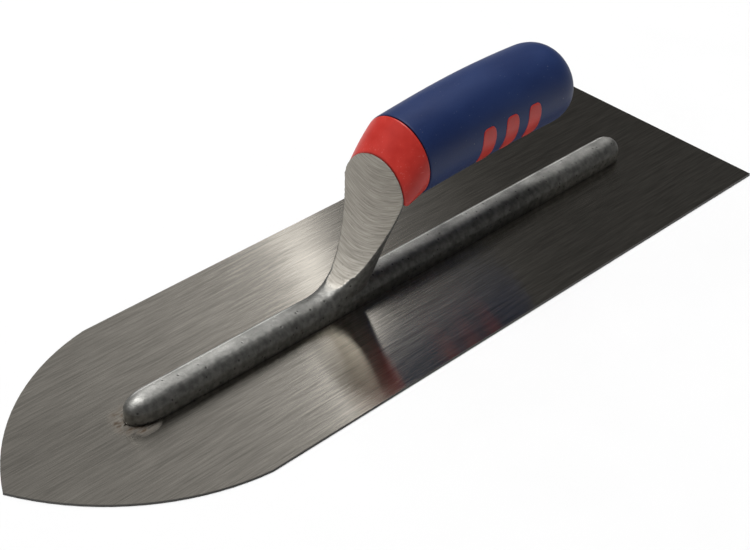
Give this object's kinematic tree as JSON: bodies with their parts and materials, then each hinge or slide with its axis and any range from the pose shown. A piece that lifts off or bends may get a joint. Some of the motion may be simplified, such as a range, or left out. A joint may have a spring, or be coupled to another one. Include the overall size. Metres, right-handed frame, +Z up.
{
  "type": "flooring trowel",
  "caption": "Long flat finishing trowel with a pointed nose, a ribbed cast mounting and a soft-grip handle over the blade, for smoothing concrete and screed floors.",
  "frame": {"origin": "centre of the blade's underside, which is the middle of the bottom of the bounding box", "axes": "+Z up from the blade to the handle, +Y towards the square heel, -Y towards the pointed nose, X across the blade"},
  "size_m": [0.1142, 0.4064, 0.0863],
  "materials": {
    "blade_steel": "satin",
    "cast_aluminium": "satin",
    "red_plastic": "satin",
    "blue_grip": "matte",
    "zinc_steel": "satin",
    "rivet_steel": "satin"
  },
  "bodies": {
    "root": {"blade": "blade_steel", "mounting": "cast_aluminium", "handle_core": "red_plastic", "grip_sleeve": "blue_grip", "handle_bolt": "zinc_steel", "bolt_washer": "zinc_steel", "end_plug": "blue_grip", "blade_rivet_1": "rivet_steel", "blade_rivet_2": "rivet_steel", "blade_rivet_3": "rivet_steel", "blade_rivet_4": "rivet_steel", "blade_rivet_5": "rivet_steel", "blade_rivet_6": "rivet_steel", "blade_rivet_7": "rivet_steel", "blade_rivet_8": "rivet_steel"}
  },
  "joints": []
}
